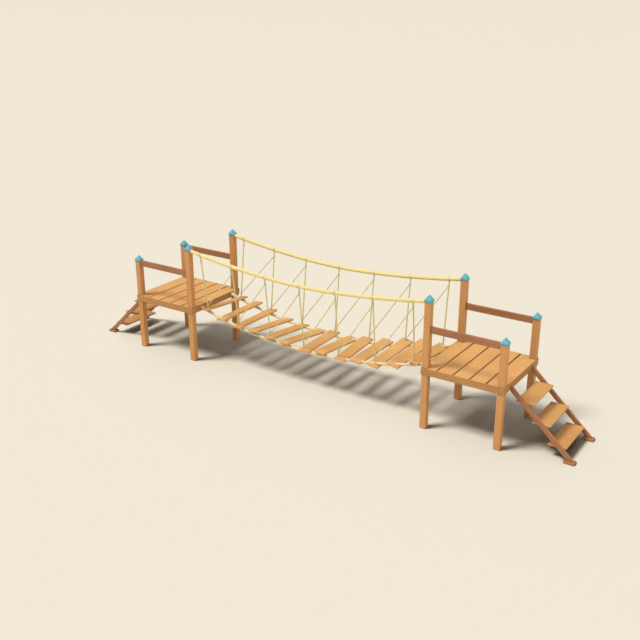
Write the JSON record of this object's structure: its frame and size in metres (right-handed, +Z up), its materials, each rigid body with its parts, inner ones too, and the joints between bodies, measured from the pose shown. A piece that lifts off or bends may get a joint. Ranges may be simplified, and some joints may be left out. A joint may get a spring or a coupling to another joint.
{
  "type": "rope suspension footbridge",
  "caption": "Timber rope footbridge: a sagging plank walkway hung on ropes between raised platforms with side rails, capped posts and short open stairs at the ends.",
  "frame": {"origin": "on the ground, under the middle of the bridge", "axes": "+Z up, X along the bridge from stair to stair, Y across it"},
  "size_m": [9.15, 1.3146, 2.1333],
  "materials": {
    "timber": "satin",
    "deck_timber": "satin",
    "stained_timber": "satin",
    "cap": "satin",
    "thick_rope": "matte",
    "thin_rope": "matte"
  },
  "bodies": {
    "root": {"deck_left": "deck_timber", "frame_left": "timber", "tall_post_left_near": "timber", "short_post_left_near": "timber", "tall_cap_left_near": "cap", "short_cap_left_near": "cap", "rail_left_near": "stained_timber", "stringer_left_near": "stained_timber", "tall_post_left_far": "timber", "short_post_left_far": "timber", "tall_cap_left_far": "cap", "short_cap_left_far": "cap", "rail_left_far": "stained_timber", "stringer_left_far": "stained_timber", "tread_left_1": "deck_timber", "tread_left_2": "deck_timber", "tread_left_3": "deck_timber", "deck_right": "deck_timber", "frame_right": "timber", "tall_post_right_near": "timber", "short_post_right_near": "timber", "tall_cap_right_near": "cap", "short_cap_right_near": "cap", "rail_right_near": "stained_timber", "stringer_right_near": "stained_timber", "tall_post_right_far": "timber", "short_post_right_far": "timber", "tall_cap_right_far": "cap", "short_cap_right_far": "cap", "rail_right_far": "stained_timber", "stringer_right_far": "stained_timber", "tread_right_1": "deck_timber", "tread_right_2": "deck_timber", "tread_right_3": "deck_timber", "hand_rope_near": "thick_rope", "lower_rope_near": "thick_rope", "side_net_near": "thin_rope", "hand_rope_far": "thick_rope", "lower_rope_far": "thick_rope", "side_net_far": "thin_rope", "plank_01": "deck_timber", "plank_02": "deck_timber", "plank_03": "deck_timber", "plank_04": "deck_timber", "plank_05": "deck_timber", "plank_06": "deck_timber", "plank_07": "deck_timber", "plank_08": "deck_timber", "plank_09": "deck_timber", "plank_10": "deck_timber", "plank_11": "deck_timber", "plank_12": "deck_timber", "plank_13": "deck_timber"}
  },
  "joints": []
}
